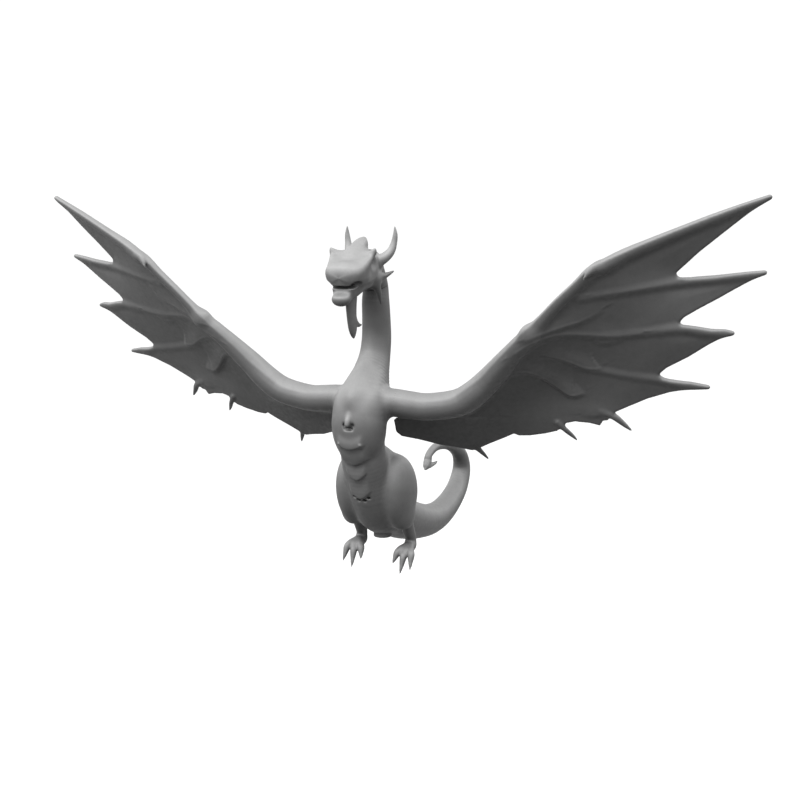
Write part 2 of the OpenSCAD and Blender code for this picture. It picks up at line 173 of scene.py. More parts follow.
def chain(grid, points, steps=4, reach=4.0):
    """String of round cones through [x, y, z, radius]."""
    field = np.full(grid.shape, FAR, np.float32)
    path = curve(points, steps)
    for a, b in zip(path[:-1], path[1:]):
        pad = max(a[3], b[3]) + reach
        cut = grid.window(np.minimum(a[:3], b[:3]) - pad, np.maximum(a[:3], b[:3]) + pad)
        if cut is None:
            continue
        along = b[:3] - a[:3]
        x = grid.x[cut[0]] - a[0]
        y = grid.y[:, cut[1]] - a[1]
        z = grid.z[:, :, cut[2]] - a[2]
        t = np.clip((x * along[0] + y * along[1] + z * along[2]) / (along @ along + 1e-9), 0, 1)
        gap = np.sqrt((x - t * along[0]) ** 2 + (y - t * along[1]) ** 2
                      + (z - t * along[2]) ** 2) - (a[3] + t * (b[3] - a[3]))
        field[cut] = np.minimum(field[cut], gap)
    return field


def spine(grid, rings, steps=5):
    """Tube through [x, y, z, half width, half depth] whose middle runs in a YZ plane."""
    path = curve(rings, steps)
    y, z = grid.y[0], grid.z[0]
    best = np.full((y.shape[0], z.shape[1]), 1e9, np.float32)
    found = [np.zeros_like(best) for _ in range(4)]
    for a, b in zip(path[:-1], path[1:]):
        dy, dz = b[1] - a[1], b[2] - a[2]
        t = np.clip(((y - a[1]) * dy + (z - a[2]) * dz) / (dy * dy + dz * dz), 0, 1)
        off = np.hypot(y - a[1] - t * dy, z - a[2] - t * dz)
        row = a + t[..., None] * (b - a)
        score = off - row[..., 4]
        nearer = score < best
        best[nearer] = score[nearer]
        for store, value in zip(found, (off, row[..., 0], row[..., 3], row[..., 4])):
            store[nearer] = value[nearer]
    off, middle, wide, deep = found
    u = grid.x - middle
    near = np.sqrt((u / wide) ** 2 + (off / deep) ** 2)
    slope = np.sqrt((u / wide ** 2) ** 2 + (off / deep ** 2) ** 2)
    return near * (near - 1) / (slope + TINY)


def beyond(grid, seam):
    """Signed distance past a seam, positive on the +Z side of its axis."""
    point, tilt = seam
    s, c = math.sin(math.radians(tilt)), math.cos(math.radians(tilt))
    return -s * (grid.y - point[1]) + c * (grid.z - point[2])


def beside(grid, seam):
    """Distance from a seam's axis, measured in the YZ plane."""
    point, tilt = seam
    s, c = math.sin(math.radians(tilt)), math.cos(math.radians(tilt))
    return c * (grid.y - point[1]) + s * (grid.z - point[2])


def seam_cut(seam, shift, way):
    """Point and outward axis of a cut at a seam, moved along the seam's axis."""
    point, tilt = seam
    axis = np.array([0, -math.sin(math.radians(tilt)), math.cos(math.radians(tilt))])
    return tuple(np.array(point) + axis * shift), tuple(axis * way)


def ramp(value, start, stop):
    """Smooth step from 0 at start to 1 at stop."""
    t = np.clip((value - start) / (stop - start), 0, 1)
    return t * t * (3 - 2 * t)


def share(field, outside):
    """The part of a casting where outside < 0, lapped under its neighbour past that."""
    sunk = field + HIDDEN_SLOPE * np.maximum(outside, 0)
    return np.maximum(sunk, outside - HIDDEN_LAP)


# ---------------------------------------------------------------- meshes and pieces

def mesh_from(name, grid, field, both=False, flip=False):
    """Mesh of the zero surface; both mirrors a half grid, flip mirrors the result in X."""
    low = grid.low.copy()
    if both:
        field = np.concatenate([field[:0:-1], field])
        low[0] = -(len(grid.axes[0]) - 1) * grid.step
    volume = openvdb.FloatGrid(FAR)
    volume.copyFromArray(np.ascontiguousarray(field, dtype=np.float32))
    points, _, quads = volume.convertToPolygons(isovalue=0.0, adaptivity=0.0)
    points = (points * grid.step + low) * MM
    if flip:
        points[:, 0] *= -1
    a, b, c = (points[quads[:, i]] for i in range(3))
    if np.einsum("ij,ij->i", a, np.cross(b, c)).sum() < 0:
        quads = quads[:, ::-1]
    mesh = bpy.data.meshes.new(name)
    mesh.from_pydata(points.tolist(), [], quads.tolist())
    mesh.update()
    return mesh


def trim(mesh, seam_point, seam_axis):
    """Cut off what lies past a plane and close the cut with a flat face."""
    bm = bmesh.new()
    bm.from_mesh(mesh)
    bmesh.ops.bisect_plane(bm, geom=bm.verts[:] + bm.edges[:] + bm.faces[:], dist=1e-7,
                           plane_co=Vector(seam_point) * MM, plane_no=Vector(seam_axis),
                           clear_outer=True)
    rim = [e for e in bm.edges if e.is_boundary]
    bmesh.ops.triangle_fill(bm, edges=rim, use_beauty=True)
    bmesh.ops.recalc_face_normals(bm, faces=bm.faces[:])
    bm.to_mesh(mesh)
    bm.free()


def keep_shells(mesh, count):
    """Keep only the largest closed shells of a mesh."""
    bm = bmesh.new()
    bm.from_mesh(mesh)
    shells = []
    for start in bm.verts:
        if start.tag:
            continue
        start.tag = True
        shell = [start]
        for vert in shell:
            for edge in vert.link_edges:
                other = edge.other_vert(vert)
                if not other.tag:
                    other.tag = True
                    shell.append(other)
        shells.append(shell)
    shells.sort(key=len)
    crumbs = [vert for shell in shells[:-count] for vert in shell]
    if crumbs:
        bmesh.ops.delete(bm, geom=crumbs, context="VERTS")
        bm.to_mesh(mesh)
    bm.free()


def add_piece(mesh, node, body, material, shells=1):
    """Turn a mesh into the piece that stands for a CAD casting."""
    keep_shells(mesh, shells)
    mesh.materials.append(material)
    mesh.polygons.foreach_set("use_smooth", np.ones(len(mesh.polygons), dtype=bool))
    mesh.set_sharp_from_angle(angle=math.radians(SHARP_EDGE))
    piece = bpy.data.objects.new(node + "_casting", mesh)
    bpy.context.scene.collection.objects.link(piece)
    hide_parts(node)
    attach(piece, body)


def pair(name, grid, field, body, material, cut=None, shells=1):
    """The left piece of a part and its mirror image."""
    for side in ("left", "right"):
        mesh = mesh_from(f"{side}_{name}", grid, field, flip=side == "right")
        if cut:
            cut(mesh, side)
        on = f"{side}_wing" if body == "wing" else body
        add_piece(mesh, f"{side}_{name}", on, material, shells)


# ---------------------------------------------------------------- materials

def node_material(name):
    material = bpy.data.materials.new(name)
    material.use_nodes = True
    tree = material.node_tree
    shader = next(n for n in tree.nodes if n.type == "BSDF_PRINCIPLED")
    return material, tree, shader


def link(tree, out, into):
    tree.links.new(out, into)


def ramp_node(tree, source, stops):
    """Grey ramp through (position, value) stops."""
    node = tree.nodes.new("ShaderNodeValToRGB")
    for i, (place, value) in enumerate(stops):
        if i < 2:
            stop = node.color_ramp.elements[i]
            stop.position = place
        else:
            stop = node.color_ramp.elements.new(place)
        stop.color = (value, value, value, 1)
    link(tree, source, node.inputs["Fac"])
    return node.outputs["Color"]


def multiply(tree, a, b):
    node = tree.nodes.new("ShaderNodeMix")
    node.data_type = "RGBA"
    node.blend_type = "MULTIPLY"
    node.inputs["Factor"].default_value = 1.0
    link(tree, a, node.inputs["A"])
    link(tree, b, node.inputs["B"])
    return node.outputs["Result"]


def noise(tree, scale, detail=4.0, rough=0.55):
    place = tree.nodes.new("ShaderNodeTexCoord")
    node = tree.nodes.new("ShaderNodeTexNoise")
    node.inputs["Scale"].default_value = scale
    node.inputs["Detail"].default_value = detail
    node.inputs["Roughness"].default_value = rough
    link(tree, place.outputs["Object"], node.inputs["Vector"])
    return node.outputs["Fac"]


# Scales of the noise in the finishes, in features per metre or so
BLOTCHES = 260.0
SPRAY_PATCHES = 700.0
HANDLING_MARKS = 1500.0
SPECKS = 2600.0
GRAIN = 3200.0
# A wing skin's painted shade is darkest from the body to the first share of its length, and gone from the
# second
DARKEST_SHADE_END = 0.15
NO_SHADE_START = 0.65
WING_LENGTH_M = 0.12


def painted_light_from_above(tree, under, middle, top):
    """Painted light: tone by how far a face looks up, with painted shade under it, middle on the sides
    and a painted highlight on top.
    """
    place = tree.nodes.new("ShaderNodeTexCoord")
    split = tree.nodes.new("ShaderNodeSeparateXYZ")
    link(tree, place.outputs["Normal"], split.inputs["Vector"])
    lift = tree.nodes.new("ShaderNodeMapRange")
    lift.inputs["From Min"].default_value = -1.0
    lift.inputs["From Max"].default_value = 1.0
    link(tree, split.outputs["Z"], lift.inputs["Value"])
    stops = [(0.0, under), (1.0, 0.78 * top), (0.5, middle), (0.8, top)]
    return ramp_node(tree, lift.outputs["Result"], stops)


def painted_shade_in_hollows(tree):
    """Painted shade: darker tone where the surface is shut in."""
    hollow = tree.nodes.new("ShaderNodeAmbientOcclusion")
    hollow.samples = 6
    hollow.inputs["Distance"].default_value = 0.018
    return ramp_node(tree, hollow.outputs["AO"], [(0.2, 0.35), (0.9, 1.0)])


def worn_edges_and_crease_shade(tree):
    """Slightly lighter tone on sharp edges from wear, and painted shade darker in creases."""
    shape = tree.nodes.new("ShaderNodeNewGeometry")
    return ramp_node(tree, shape.outputs["Pointiness"], [(0.42, 0.92), (0.58, 1.03)])


def painted_shade_near_body(tree, shade_at_body):
    """Painted shade along a wing: a tone factor from the given value at the body to 1 further out."""
    place = tree.nodes.new("ShaderNodeTexCoord")
    axes = tree.nodes.new("ShaderNodeSeparateXYZ")
    link(tree, place.outputs["Object"], axes.inputs["Vector"])
    reach = tree.nodes.new("ShaderNodeMath")
    reach.operation = "ABSOLUTE"
    link(tree, axes.outputs["X"], reach.inputs[0])
    along = tree.nodes.new("ShaderNodeMapRange")
    along.inputs["From Max"].default_value = WING_LENGTH_M
    link(tree, reach.outputs[0], along.inputs["Value"])
    stops = [(DARKEST_SHADE_END, shade_at_body), (NO_SHADE_START, 1.0)]
    return ramp_node(tree, along.outputs["Result"], stops)


def add_bump(tree, shader, height, strength, distance):
    bump = tree.nodes.new("ShaderNodeBump")
    bump.inputs["Strength"].default_value = strength
    bump.inputs["Distance"].default_value = distance
    link(tree, height, bump.inputs["Height"])
    link(tree, bump.outputs["Normal"], shader.inputs["Normal"])


def primer(name, under, middle, top, shade_at_body=None):
    """Grey primer on cast resin with painted light and shade by how far a face looks up, painted shade in
    the hollows, and fine grain.
    """
    material, tree, shader = node_material(name)
    # Painted light: lighter on faces that look up, painted shade on faces that look down
    colour = painted_light_from_above(tree, under, middle, top)
    layers = [
        ramp_node(tree, noise(tree, BLOTCHES), [(0.25, 0.93), (0.75, 1.04)]),
        ramp_node(tree, noise(tree, SPECKS, 2.0), [(0.3, 0.965), (0.7, 1.02)]),
        # painted shade where the surface is shut in
        painted_shade_in_hollows(tree),
        # lighter worn edges, and painted shade in creases
        worn_edges_and_crease_shade(tree),
    ]
    # Painted shade on a wing skin, darkest next to the body
    if shade_at_body is not None:
        layers.append(painted_shade_near_body(tree, shade_at_body))
    for layer in layers:
        colour = multiply(tree, colour, layer)
    link(tree, colour, shader.inputs["Base Color"])
    gloss = ramp_node(tree, noise(tree, SPRAY_PATCHES), [(0.3, 0.56), (0.7, 0.70)])
    link(tree, gloss, shader.inputs["Roughness"])
    shader.inputs["Specular IOR Level"].default_value = 0.25
    add_bump(tree, shader, noise(tree, GRAIN, 3.0), 0.12, 0.00012)
    return material


def turned_metal(name, colour, rough, lines):
    """Turned or drawn metal with fine lines round its axis and small handling marks."""
    material, tree, shader = node_material(name)
    tone = ramp_node(tree, noise(tree, 900.0), [(0.3, 0.82), (0.7, 1.05)])
    base = tree.nodes.new("ShaderNodeRGB")
    base.outputs[0].default_value = (*colour, 1)
    link(tree, multiply(tree, base.outputs[0], tone), shader.inputs["Base Color"])
    shader.inputs["Metallic"].default_value = 1.0
    wear = ramp_node(tree, noise(tree, HANDLING_MARKS), [(0.3, rough - 0.07), (0.7, rough + 0.1)])
    link(tree, wear, shader.inputs["Roughness"])
    place = tree.nodes.new("ShaderNodeTexCoord")
    wave = tree.nodes.new("ShaderNodeTexWave")
    wave.bands_direction = lines
    wave.inputs["Scale"].default_value = 1500.0
    wave.inputs["Distortion"].default_value = 1.5
    link(tree, place.outputs["Object"], wave.inputs["Vector"])
    add_bump(tree, shader, wave.outputs["Fac"], 0.15, 0.00005)
    return material


# Primers: painted shade under, tone on the side and painted highlight on top. The head's primer is
# lighter as painted light from above; the horns' primer is lighter all round.
grey_primer = primer("grey_primer", 0.045, 0.145, 0.345)
# The head's primer is lighter, as painted light falling more strongly on the head
head_painted_light_primer = primer("head_painted_light_primer", 0.045, 0.19, 0.39)
horn_primer = primer("horn_primer", 0.13, 0.25, 0.46)
claw_primer = primer("claw_primer", 0.06, 0.15, 0.34)
# The wing skin's primer carries painted shade near the body
skin_primer = primer("wing_skin_primer", 0.025, 0.17, 0.34, shade_at_body=0.15)
steel = turned_metal("ground_steel", (0.62, 0.62, 0.63), 0.28, "X")
magnet_coat = turned_metal("magnet_nickel_plate", (0.72, 0.71, 0.68), 0.16, "DIAGONAL")
brass = turned_metal("socket_brass", (0.72, 0.52, 0.22), 0.3, "Z")


# ---------------------------------------------------------------- trunk, neck and legs

# Backbone from inside the head to the root of the barb: x, y, z, half width, half depth
BACKBONE = [
    (0, -9.5, 96.5, 3.6, 3.6), (0, -7.2, 92.5, 4.0, 4.0), (0, -5.2, 88, 4.2, 4.2),
    (0, -5.2, 83, 4.6, 4.7), (0, -4.7, 77, 4.8, 4.8), (0, -4.6, 70.5, 5.0, 5.0),
    (0, -6.1, 64.5, 5.3, 5.2), (0, -9.2, 59, 6.2, 6.2), (0, -12.4, 54, 7.6, 7.7),
    (0, -14.8, 48.5, 8.4, 7.9), (0, -15.7, 42.5, 7.6, 7.3), (0, -16.0, 36.5, 7.4, 7.2),
    (0, -15.0, 30.5, 7.7, 7.2), (0, -11.5, 24.5, 8.0, 8.3), (0, -7.2, 18, 8.4, 9.6),
    (0, -2.0, 11.5, 8.4, 9.6), (0, 5.5, 7.2, 8.2, 8.0), (0, 14, 3, 7.8, 7.8),
    (0, 24, -0.8, 7.2, 7.2), (0, 33, -3.6, 6.6, 6.6), (0, 43, -5.8, 6.0, 6.0),
    (0, 54, -6.4, 5.3, 5.3), (0, 65, -4.6, 4.7, 4.7), (0, 74.5, -0.5, 4.2, 4.2),
    (0, 79.5, 6, 3.7, 3.7), (0, 77.5, 12.5, 3.1, 3.1), (0, 70, 17.5, 2.5, 2.5),
    (0, 60.5, 20.5, 2.0, 2.0), (0, 50.5, 21.5, 1.6, 1.6), (0, 43.5, 20, 1.4, 1.4),
    (0, 42, 17.5, 1.3, 1.3),
]

# Left wing arm from inside the chest to the tip of the first finger: x, y, z, radius
ARM = [
    (9, -13.3, 50.3, 4.8), (12, -13.3, 50.3, 4.65), (16, -13.1, 50.0, 4.55),
    (22, -12.4, 49.7, 4.5), (32, -12.0, 51.6, 4.5), (38, -12.6, 55.3, 4.35),
    (43.5, -13.8, 60.6, 3.9), (50, -16.8, 67.6, 3.2), (56.5, -20, 74.4, 2.5),
    (59.0, -21.0, 76.8, 2.1), (63, -22.2, 81.0, 1.5), (68, -23.5, 86.3, 1.3),
    (73.5, -24.4, 91.6, 1.25), (77.5, -25, 95.6, 1.5), (81.5, -24.8, 97.6, 1.85),
    (87, -23.4, 100.9, 1.6), (94, -22, 104.1, 1.35), (102, -20.1, 107.6, 1.15),
    (110, -18, 111, 1.0), (118, -15.8, 114.3, 0.7), (125, -13.5, 117, 0.3),
]
# Start of the shoulder inside the chest, before the first points of the arm
SHOULDER_ROOT = (3, SHOULDER_Y, SHOULDER_Z - 1, 5.8)
SHOULDER_POINTS = 6

# Rings of the backbone that make the trunk, the neck's run into the skull and the tail
TRUNK_RINGS = slice(1, 20)
SKULL_RINGS = slice(0, 4)
TAIL_BASE_RINGS = slice(17, 26)
TAIL_CURL_RINGS = slice(21, None)

# Round edge of the rib cage over the belly: centre, half sizes, tip in degrees
BREAST = ((0, -18.7, 43.0), (9.2, 8.4, 13.6), 3)
# Loin that rounds the waist into the thighs: x, y, z, radius
LOIN = [(0, -8.5, 31.5, 4.4), (3.0, -6.0, 28.2, 4.7), (5.0, -3.0, 24, 5.0)]

# Belly scutes: height of the lower edge, half width, rise of its ends, thickness, length
SCUTES = [
    (36.2, 4.7, 1.5, 0.90, 4.6),
    (30.3, 5.0, 2.4, 0.90, 5.0),
    (24.6, 3.6, 2.8, 0.75, 5.0),
    (17.6, 3.8, 2.8, 0.75, 6.0),
]

# Beak-like bump on the breast and the small spike at each end of the top scute: x, y, z, radius
BREAST_BUMP = [(0, -26.0, 47.8, 0.7), (0, -27.1, 46.0, 1.0), (0, -27.7, 44.7, 0.85)]
SCUTE_SPIKE = [(3.6, -25.3, 37.3, 0.6), (4.0, -26.5, 37.9, 0.15)]

# Small hollows beside the breast bump and in the notch of the fourth scute: centre, half sizes
PITS = [
    ((0.4, -27.0, 43.2), (1.3, 1.2, 0.6)),
    ((1.5, -26.8, 44.3), (0.5, 0.8, 0.7)),
    ((1.0, -16.8, 17.0), (0.7, 1.7, 0.55)),
    ((2.5, -16.5, 18.0), (0.6, 1.4, 0.45)),
]

# Left leg. Balls: centre, half sizes, tip in degrees. Shin down to the foot: x, y, z, radius
THIGH_FRONT = ((8.5, -5.8, 18.0), (5.3, 8.4, 12.8), 10)
THIGH_BACK = ((7.0, -2.2, 18.4), (6.4, 6.8, 12.0), 8)
KNEE = ((9.4, -3.6, 8.8), (3.6, 4.4, 4.3))
SHIN = [
    (9.2, -2.2, 9, 2.8), (9.3, 0.8, 3.5, 2.25), (9.5, 3.0, -1, 1.95),
    (9.6, 1.4, -3.4, 2.0), (9.7, -1.5, -4.4, 1.75),
]
HEEL = ((9.5, 2.6, -3.4), (1.7, 2.0, 1.5))
# Toes, outer to inner: root, knuckle and claw tip
TOES = [
    ((10.5, -0.3, -3.1), (12.3, -3.4, -4.8), (12.8, -5.5, -8.9)),
    ((9.65, 0.1, -3.3), (9.55, -3.8, -5.7), (9.3, -6, -10.6)),
    ((8.7, -0.2, -3.2), (7.0, -3.2, -4.7), (6.2, -5, -7.7)),
]


def between(a, b, t, lift=0.0):
    """Point between two points, raised by lift."""
    return (a[0] + (b[0] - a[0]) * t, a[1] + (b[1] - a[1]) * t, a[2] + (b[2] - a[2]) * t + lift)


def trunk_field(grid):
    """Neck, rib cage and hips with the shoulder stubs."""
    trunk = spine(grid, BACKBONE[TRUNK_RINGS])
    # The rib cage stands out over the belly and melts into the neck
    breast_fillet = 0.9 + 5.0 * ramp(grid.z, 40, 54)
    trunk = join(trunk, ball(grid, *BREAST), breast_fillet)
    trunk = join(trunk, chain(grid, LOIN), 4.0)
    stub = chain(grid, [SHOULDER_ROOT] + ARM[:SHOULDER_POINTS])
    return join(trunk, stub, 2.0)


def throat_ridge(grid):
    """Height of the soft ridge, between two grooves, from the breast up the front of the neck."""
    crest = np.exp(-(grid.x / 2.3) ** 2)
    groove = np.exp(-((np.abs(grid.x) - 4.6) / 1.8) ** 2)
    along = ramp(grid.z, 48, 54) * (1 - ramp(grid.z, 64, 76))
    neck_middle = (70 - grid.z) * 0.32
    front = ramp(-grid.y, 5 + neck_middle, 11 + neck_middle)
    return 0.75 * (crest - 0.35 * groove) * along * front


def scute_relief(grid):
    """How far the belly plates stand out: each thickens down to its curved lower edge."""
    relief = np.zeros((grid.shape[0], 1, grid.shape[2]), np.float32)
    x = np.abs(grid.x)
    for edge, half, rise, thick, length in SCUTES:
        height = grid.z - (edge + rise * (x / half) ** 1.6)
        plate = thick * ramp(height, -0.3, 0.1) * (1 - ramp(height, 0.1, length))
        relief = np.maximum(relief, plate * (1 - ramp(x, half * 0.72, half * 1.15)))
    return relief


def belly_side(grid):
    """Where the scutes show: 1 on the front of the belly and, low down, on its underside."""
    front = ramp(-grid.y, 8.0, 11.0)
    under = ramp(14.0 - grid.y - grid.z * 0.42, 0.0, 6.0) * (grid.z < 14)
    return np.maximum(front, under) * (1 - ramp(np.abs(grid.x), 6.5, 9.5))


def finished_trunk(grid):
    """Trunk with its scutes, throat ridge, breast bump and pits."""
    trunk = trunk_field(grid)
    trunk = trunk - scute_relief(grid) * belly_side(grid) - throat_ridge(grid)
    bump = np.minimum(chain(grid, BREAST_BUMP), chain(grid, SCUTE_SPIKE))
    trunk = join(trunk, bump, 0.9)
    for place, size in PITS:
        trunk = carve(trunk, ball(grid, place, size), 0.6)
    return trunk


def thigh_field(grid):
    thigh = join(ball(grid, *THIGH_FRONT), ball(grid, *THIGH_BACK), 1.6)
    return join(thigh, ball(grid, *KNEE), 2.5)


def foot_fields(grid):
    """Shin with the foot and toes, and the three claws."""
    foot = join(chain(grid, SHIN), ball(grid, *HEEL), 1.5)
    claws = np.full(grid.shape, FAR, np.float32)
    for root, knuckle, tip in TOES:
        toe = chain(grid, [(*root, 1.25), (*between(root, knuckle, 0.6, 0.5), 1.2),
                           (*knuckle, 1.25), (*between(knuckle, tip, 0.4, 0.1), 0.85)])
        foot = join(foot, toe, 0.9)
        claw = chain(grid, [(*between(knuckle, tip, 0.2), 0.95),
                            (*between(knuckle, tip, 0.65), 0.7),
                            (*between(knuckle, tip, 1.1), 0.18)])
        claws = np.minimum(claws, claw)
    return foot, claws


def magnet_bore(grid):
    """Bore in the side of the chest for the shoulder magnet and pin."""
    from_axis = np.hypot(grid.y - SHOULDER_Y, grid.z - SHOULDER_Z)
    return np.maximum(from_axis - WING_BORE_R, CHEST_BORE_END - grid.x)


def with_stand_socket(grid, field):
    """The field with a low boss below it and the bore for the bush and the peg."""
    from_axis = np.sqrt(grid.x ** 2 + grid.y ** 2)
    half_height = BOSS_TOP / 2
    boss = np.maximum(from_axis - BOSS_R, np.abs(grid.z - half_height) - half_height - BUSH_COVER)
    bore = np.maximum(from_axis - BUSH_R, grid.z - BUSH_TOP)
    peg_way = np.maximum(from_axis - PEG_ROOM_R, grid.z + BUSH_COVER)
    return join(field, boss, 0.5), np.minimum(bore, peg_way)


def build_body():
    """Chest, pelvis, thighs, feet and toe claws, sculpted as one and cut at the seams."""
    grid = Grid((0, -32, -13), (14.4, 30, 68), BODY_STEP)
    trunk = finished_trunk(grid)
    thigh = thigh_field(grid)
    foot, claws = foot_fields(grid)
    whole = join(trunk, thigh, 2.0)
    whole = join(whole, foot, 1.6)
    whole = join(whole, claws, 0.35)

    neck = beyond(grid, NECK_SEAM)
    waist = beyond(grid, WAIST_SEAM)
    limb = np.minimum(thigh, np.minimum(foot, claws)) - trunk

    chest = np.maximum(share(whole, np.maximum(neck, -waist)), -magnet_bore(grid))
    mesh = mesh_from("chest", grid, chest, both=True)
    for side in (-1, 1):
        trim(mesh, (side * (SHOULDER_X - SEAM_GAP), 0, 0), (side, 0, 0))
    add_piece(mesh, "chest", "body", grey_primer)

    hips, socket = with_stand_socket(grid, whole)
    pelvis = np.maximum(share(hips, np.maximum(waist, -limb)), -socket)
    mesh = mesh_from("pelvis", grid, pelvis, both=True)
    trim(mesh, *seam_cut(TAIL_SEAM, -SEAM_GAP, 1))
    add_piece(mesh, "pelvis", "body", grey_primer)

    thigh_part = share(whole, np.maximum(limb, thigh - np.minimum(foot, claws)))
    foot_part = share(whole, np.maximum(limb, np.maximum(foot - thigh, foot - claws)))
    claw_part = share(whole, np.maximum(limb, claws - np.minimum(thigh, foot)))
    pair("thigh", grid, thigh_part, "body", grey_primer)
    pair("foot", grid, foot_part, "body", grey_primer)
    pair("foot_claws", grid, claw_part, "body", claw_primer, shells=len(TOES))


def build_neck():
    grid = Grid((0, -20, 56), (8.6, 6, 92), BODY_STEP)
    field = trunk_field(grid) - throat_ridge(grid)
    mesh = mesh_from("neck", grid, share(field, -beyond(grid, NECK_SEAM)), both=True)
    trim(mesh, *seam_cut(HEAD_SEAM, -SEAM_GAP, 1))
    add_piece(mesh, "neck", "body", grey_primer)


# ---------------------------------------------------------------- head

# Face and lower jaw from the nape to the nose: y, half width, top, bottom
FACE = [
    (-5.5, 3.2, 97.4, 91.5), (-11.0, 4.2, 99.0, 90.4), (-16.5, 6.0, 100.3, 89.8),
    (-21.0, 7.4, 100.4, 89.4), (-24.0, 7.3, 99.3, 89.2), (-26.5, 6.8, 98.0, 89.0),
    (-28.5, 6.2, 96.8, 89.0), (-30.3, 5.6, 95.8, 89.0), (-31.8, 4.9, 95.0, 89.2),
]
JAW = [
    (-8.0, 3.6, 91.5, 88.8), (-13.0, 4.2, 91.5, 88.6), (-19.0, 4.7, 91.0, 87.9),
    (-24.0, 4.5, 90.6, 86.2), (-27.5, 3.8, 90.4, 84.9), (-31.0, 3.4, 90.0, 84.6),
]
# Power of the rounded square that each is in section (2 is an ellipse), and its round front edge
FACE_SHAPE = (2.9, 4.8)
JAW_SHAPE = (2.2, 3.4)
# Plane between skull and jaw: height at LIP_FRONT_Y, and rise for each millimetre back
LIP_HEIGHT = 89.1
LIP_RISE = 0.20
LIP_FRONT_Y = -31

# Balls of the head, added or carved away: centre, half sizes, tip in degrees
BRAIN_CASE = ((0, -12.5, 95.0), (4.8, 6.0, 5.0), 20)
NOSE_ROLL = ((0, -29.0, 93.6), (6.0, 3.6, 3.5), 20)
FOREHEAD_HOLLOW = ((0, -26.6, 101.4), (5.0, 2.4, 3.4), 40)
CHEEK_HOLLOW = ((8.8, -21.4, 93.4), (1.9, 3.0, 2.8))
EYE_SOCKET = ((8.3, -20.2, 96.6), (2.6, 2.9, 2.4))
JAW_HOLLOW = ((6.2, -22.0, 86.8), (1.8, 3.6, 1.2))
CHIN = ((0, -31.2, 85.4), (3.0, 2.4, 2.1))
MOUTH_SLOT = ((0, -31.6, 89.1), (6.6, 4.2, 0.5), 12)
MOUTH_CORNER = ((4.8, -29.6, 90.1), (2.0, 1.9, 1.25), 12)
UNDER_LIP = ((0, -32.8, 88.0), (5.6, 2.0, 0.9), 12)

# Chains of the head, the paired ones on the left: x, y, z, radius
CHEEK_RIDGE = [
    (7.4, -22.4, 100.0, 0.6), (6.8, -23.4, 98.4, 0.8),
    (6.0, -25.2, 96.6, 0.9), (5.1, -27.5, 94.8, 1.0),
]
HORN = [
    (3.2, -13, 96.6, 2.2), (5.6, -11.8, 97.4, 1.8), (7.5, -9.8, 99.6, 1.4),
    (8.3, -8.8, 102.4, 1.05), (8.7, -8.6, 105.2, 0.75), (8.6, -8.8, 107.7, 0.2),
]
CREST = [
    (0, -23.0, 97.9, 2.4), (0, -19.4, 100.0, 2.9), (0, -16.4, 102.0, 2.3), (0, -14.2, 103.6, 1.0),
]
BROW = [
    (2.8, -20.0, 98.2, 1.7), (5.2, -21.0, 98.9, 1.4), (6.9, -22.0, 99.9, 0.8),
    (7.8, -22.5, 101.0, 0.2),
]
UPPER_SPINE = [(3.8, -14.6, 91.3, 1.9), (5.9, -11.0, 91.9, 1.0), (7.7, -8, 93.2, 0.3)]
LOWER_SPINE = [(4.0, -15.4, 90.4, 1.9), (4.8, -13.4, 86.8, 1.0), (4.8, -11.4, 82.7, 0.25)]
SPINE_WEB = [(3.4, -14.2, 90.9, 1.6), (5.2, -12.2, 90.4, 0.6), (5.4, -12.0, 89.6, 0.35)]
BEARD = [
    (0, -24.0, 86.5, 3.6), (0, -23.9, 82.8, 3.1), (0, -23.6, 79.4, 2.8),
    (0, -22.9, 76.0, 2.5), (0, -22.4, 73.6, 1.3), (0, -22.2, 72.4, 0.3),
]
BEARD_SPUR = [(0, -22.5, 78.2, 1.5), (0, -18.8, 76.3, 0.8), (0, -16.4, 76.1, 0.25)]


def block(grid, rows, power, nose):
    """Boxy loft along Y through (y, half width, top, bottom) with a rounded front."""
    path = curve(rows, 8)[::-1]
    wide, top, low = (np.interp(grid.y, path[:, 0], path[:, i]).astype(np.float32)
                      for i in (1, 2, 3))
    half = (top - low) / 2
    u = np.abs(grid.x) / wide + 1e-4
    v = np.abs(grid.z - (top + low) / 2) / half + 1e-4
    reach = (u ** power + v ** power) ** (1 / power)
    slope = np.hypot(u ** (power - 1) / wide, v ** (power - 1) / half) * reach ** (1 - power)
    sides = (reach - 1) / (slope + TINY)
    ends = np.maximum(path[0, 0] - 0.7 - grid.y, grid.y - path[-1, 0])
    return -join(-sides, -ends, nose)


def flat_chain(grid, points, width):
    """Chain whose thickness across X is that share of its height, for the beard."""
    return chain(grid.squeezed(width), points) * (0.5 + 0.5 * width)


def skull_field(grid):
    """Brain case, boxy face and nose with hollows for the forehead, cheeks and eyes."""
    skull = join(spine(grid, BACKBONE[SKULL_RINGS]), ball(grid, *BRAIN_CASE), 1.6)
    skull = join(skull, block(grid, FACE, *FACE_SHAPE), 1.5)
    skull = join(skull, chain(grid, CHEEK_RIDGE, 6), 2.0)
    skull = join(skull, ball(grid, *NOSE_ROLL), 1.6)
    skull = carve(skull, ball(grid, *FOREHEAD_HOLLOW), 2.6)
    skull = carve(skull, ball(grid, *CHEEK_HOLLOW), 2.4)
    return carve(skull, ball(grid, *EYE_SOCKET), 1.4)


def jaw_field(grid):
    jaw = carve(block(grid, JAW, *JAW_SHAPE), ball(grid, *JAW_HOLLOW), 1.8)
    return join(jaw, ball(grid, *CHIN), 1.5)


def frill_field(grid):
    """Two cheek spines with a web of skin between them."""
    spines = join(chain(grid, UPPER_SPINE, 6), chain(grid, LOWER_SPINE, 6), 2.2)
    return join(spines, chain(grid, SPINE_WEB), 1.0)


